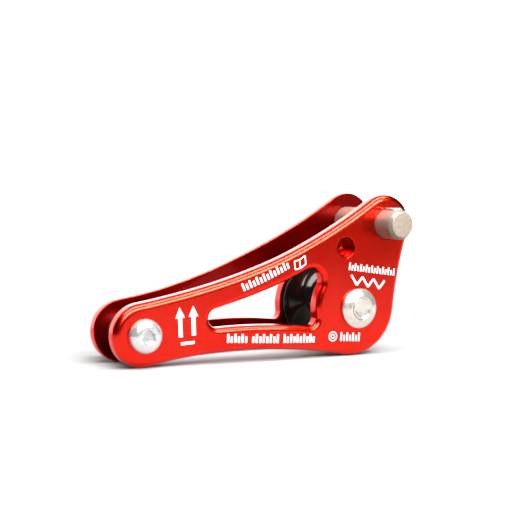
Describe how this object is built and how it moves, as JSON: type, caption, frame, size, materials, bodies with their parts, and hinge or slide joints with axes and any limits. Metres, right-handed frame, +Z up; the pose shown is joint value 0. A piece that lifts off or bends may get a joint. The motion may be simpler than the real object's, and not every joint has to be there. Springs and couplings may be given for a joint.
{
  "type": "rope wrench",
  "caption": "Rope friction device with joggled side plates, a grooved friction wheel, a quick-release lock pin and a tether bolt.",
  "frame": {"origin": "centre of the bounding box, on the floor the plates' lower edges stand on", "axes": "+X from the tether end to the wheel end, +Y from the front plate to the rear plate, +Z up"},
  "size_m": [0.1373, 0.0546, 0.0686],
  "materials": {
    "red_anodised": "red anodised, satin gloss",
    "black_anodised": "hard black anodised, glossy",
    "turned_steel": "turned stainless steel",
    "bright_steel": "bright zinc-plated steel",
    "brushed_steel": "brushed stainless steel",
    "dark_steel": "dark oiled steel",
    "nylon": "natural nylon"
  },
  "bodies": {
    "frame": {"front_plate": "red_anodised", "rear_plate": "red_anodised", "friction_wheel": "black_anodised", "wheel_axle": "turned_steel", "axle_washer_front": "turned_steel", "axle_washer_rear": "turned_steel", "tether_bolt": "bright_steel", "tether_bush": "dark_steel", "tether_nut_washer": "bright_steel", "tether_nut": "bright_steel", "tether_nut_collar": "nylon"},
    "lock_pin": {"lock_pin": "brushed_steel", "plunger_spring_front": "bright_steel", "plunger_spring_rear": "bright_steel"},
    "plunger": {"lock_pin_plunger": "bright_steel"}
  },
  "joints": [
    {"name": "lock_pin_slide", "type": "slide", "parent": "frame", "child": "lock_pin", "axis": [0, 1, 0], "range_m": [0, 0.052], "deforming": ["lock_pin_plunger"]},
    {"name": "plunger_press", "type": "slide", "parent": "lock_pin", "child": "plunger", "axis": [0, 0, -1], "range_m": [0, 0.001], "stiffness_N_per_m": 600, "springref_m": -0.002, "deforming": ["plunger_spring_front", "plunger_spring_rear"]}
  ]
}
